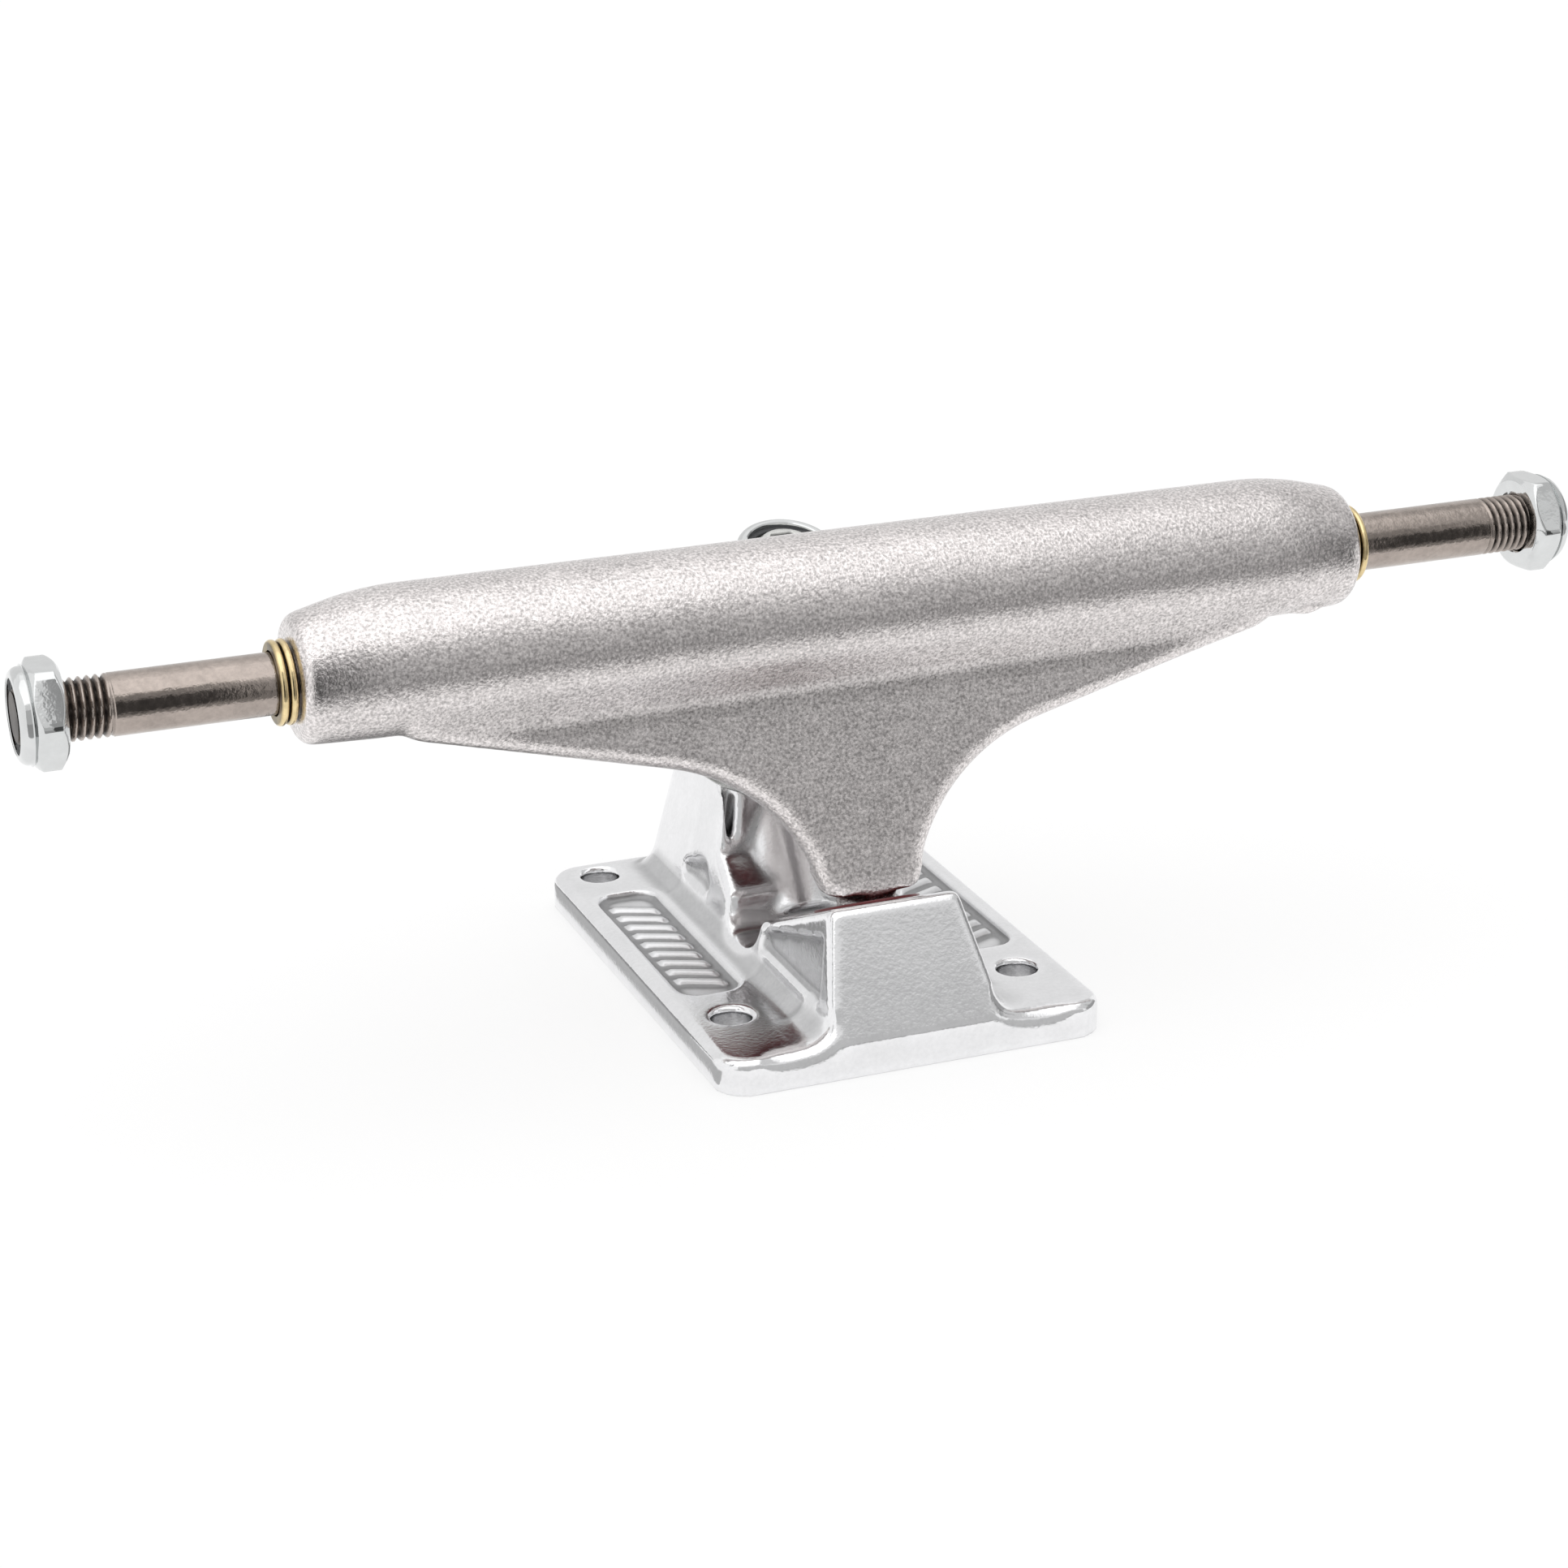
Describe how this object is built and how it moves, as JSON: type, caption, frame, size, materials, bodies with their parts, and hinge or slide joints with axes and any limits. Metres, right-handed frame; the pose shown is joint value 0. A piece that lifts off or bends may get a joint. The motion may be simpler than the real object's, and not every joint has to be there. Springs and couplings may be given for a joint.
{
  "type": "skateboard truck",
  "caption": "Kingpin skateboard truck: bolted baseplate, T-shaped cast hanger turning on a pivot cup and two bushings, through axle with speed washers and lock nuts",
  "frame": {"origin": "centre of the four deck bolt holes on the baseplate's mounting face", "axes": "+X along the axle to the right, -Y the pivot side, +Y the kingpin side, +Z from the deck towards the axle"},
  "size_m": [0.2166, 0.0741, 0.0653],
  "materials": {
    "tumbled_aluminium": "raw casting, tumbled to a mottled satin grain",
    "polished_aluminium": "smooth bright polished casting",
    "chromed_steel": "bright plating",
    "plated_steel": "zinc plated",
    "axle_steel": "heat-darkened bronze grey, satin",
    "yellow_zinc": "yellow zinc plating",
    "red_urethane": "deep red cast urethane",
    "dark_nylon": "dark nylon"
  },
  "bodies": {
    "base": {"baseplate": "polished_aluminium", "pivot_cup": "red_urethane", "kingpin": "plated_steel", "bottom_cup_washer": "plated_steel", "bottom_bushing": "red_urethane", "top_bushing": "red_urethane", "top_cup_washer": "plated_steel"},
    "hanger_body": {"hanger": "tumbled_aluminium", "axle": "axle_steel"},
    "kingpin_nut_body": {"kingpin_nut": "chromed_steel", "kingpin_nut_insert": "dark_nylon"},
    "left_inner_washer": {"left_inner_speed_washer": "yellow_zinc"},
    "left_outer_washer": {"left_outer_speed_washer": "yellow_zinc"},
    "left_nut": {"left_axle_nut": "chromed_steel", "left_axle_nut_insert": "dark_nylon"},
    "right_inner_washer": {"right_inner_speed_washer": "yellow_zinc"},
    "right_outer_washer": {"right_outer_speed_washer": "yellow_zinc"},
    "right_nut": {"right_axle_nut": "chromed_steel", "right_axle_nut_insert": "dark_nylon"}
  },
  "joints": [
    {"name": "steer", "type": "hinge", "parent": "base", "child": "hanger_body", "pos_m": [0, -0.0259, 0.01191], "axis": [0, 0.8131, 0.5822], "range_deg": [-12, 12], "stiffness_Nm_per_rad": 20, "deforming": ["bottom_bushing", "top_bushing"]},
    {"name": "kingpin_nut_spin", "type": "hinge", "parent": "base", "child": "kingpin_nut_body", "pos_m": [0, 0.00695, 0.0485], "axis": [0, -0.309, 0.9511], "continuous": true},
    {"name": "left_washer_slide", "type": "slide", "parent": "hanger_body", "child": "left_inner_washer", "axis": [-1, 0, 0], "range_m": [0, 0.025]},
    {"name": "left_washer_spin", "type": "hinge", "parent": "left_inner_washer", "child": "left_outer_washer", "pos_m": [-0.0759, -0.0152, 0.0546], "axis": [-1, 0, 0], "continuous": true},
    {"name": "left_nut_spin", "type": "hinge", "parent": "hanger_body", "child": "left_nut", "pos_m": [-0.1025, -0.0152, 0.0546], "axis": [-1, 0, 0], "continuous": true},
    {"name": "right_washer_slide", "type": "slide", "parent": "hanger_body", "child": "right_inner_washer", "axis": [1, 0, 0], "range_m": [0, 0.025]},
    {"name": "right_washer_spin", "type": "hinge", "parent": "right_inner_washer", "child": "right_outer_washer", "pos_m": [0.0759, -0.0152, 0.0546], "axis": [1, 0, 0], "continuous": true},
    {"name": "right_nut_spin", "type": "hinge", "parent": "hanger_body", "child": "right_nut", "pos_m": [0.1025, -0.0152, 0.0546], "axis": [1, 0, 0], "continuous": true}
  ]
}
